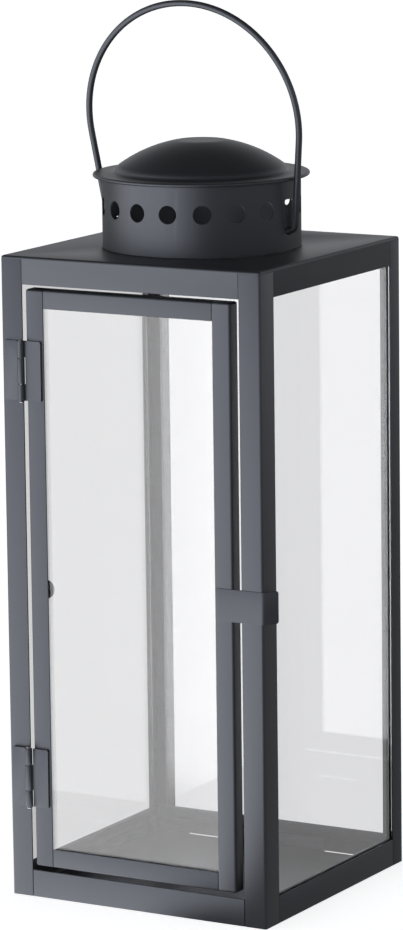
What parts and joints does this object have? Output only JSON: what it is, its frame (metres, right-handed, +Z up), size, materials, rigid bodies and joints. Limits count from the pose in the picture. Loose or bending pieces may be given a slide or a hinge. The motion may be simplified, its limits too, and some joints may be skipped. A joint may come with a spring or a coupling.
{
  "type": "candle lantern",
  "caption": "Square sheet-steel candle lantern with glass sides, a hinged glazed door with a spring latch, a vented round collar under a domed lid, and a wire bail.",
  "frame": {"origin": "middle of the base's underside, on the surface that the lantern stands on", "axes": "+Z up, -Y out through the door, +X to the right of someone who faces the door"},
  "size_m": [0.1401, 0.1377, 0.4137],
  "materials": {
    "black_powder_coat": "satin black powder coat on sheet steel",
    "clear_glass": "clear polished float glass",
    "bare_steel": "bare drawn steel pin"
  },
  "bodies": {
    "frame": {"roof_tray": "black_powder_coat", "post_front_left": "black_powder_coat", "post_front_right": "black_powder_coat", "post_rear_left": "black_powder_coat", "post_rear_right": "black_powder_coat", "base_rail_front": "black_powder_coat", "base_rail_rear": "black_powder_coat", "base_rail_left": "black_powder_coat", "base_rail_right": "black_powder_coat", "floor_plate": "black_powder_coat", "pane_left": "clear_glass", "pane_right": "clear_glass", "pane_rear": "clear_glass", "pane_ledge_lower_left": "black_powder_coat", "pane_ledge_lower_right": "black_powder_coat", "pane_ledge_lower_rear": "black_powder_coat", "pane_ledge_upper_left": "black_powder_coat", "pane_ledge_upper_right": "black_powder_coat", "pane_ledge_upper_rear": "black_powder_coat", "collar": "black_powder_coat", "lid": "black_powder_coat", "hinge_upper_post_leaf": "black_powder_coat", "hinge_upper_pin": "bare_steel", "hinge_lower_post_leaf": "black_powder_coat", "hinge_lower_pin": "bare_steel"},
    "door": {"door_stile_left": "black_powder_coat", "door_stile_right": "black_powder_coat", "door_rail_top": "black_powder_coat", "door_rail_bottom": "black_powder_coat", "door_pane": "clear_glass", "latch_clip": "black_powder_coat", "hinge_upper_door_leaf": "black_powder_coat", "hinge_lower_door_leaf": "black_powder_coat"},
    "bail": {"bail": "black_powder_coat"}
  },
  "joints": [
    {"name": "door_hinge", "type": "hinge", "parent": "frame", "child": "door", "pos_m": [-0.0562, -0.069, 0.15], "axis": [0, 0, -1], "range_deg": [0, 170]},
    {"name": "bail_swing", "type": "hinge", "parent": "frame", "child": "bail", "pos_m": [0, 0, 0.30935], "axis": [1, 0, 0], "range_deg": [-103, 88]}
  ]
}
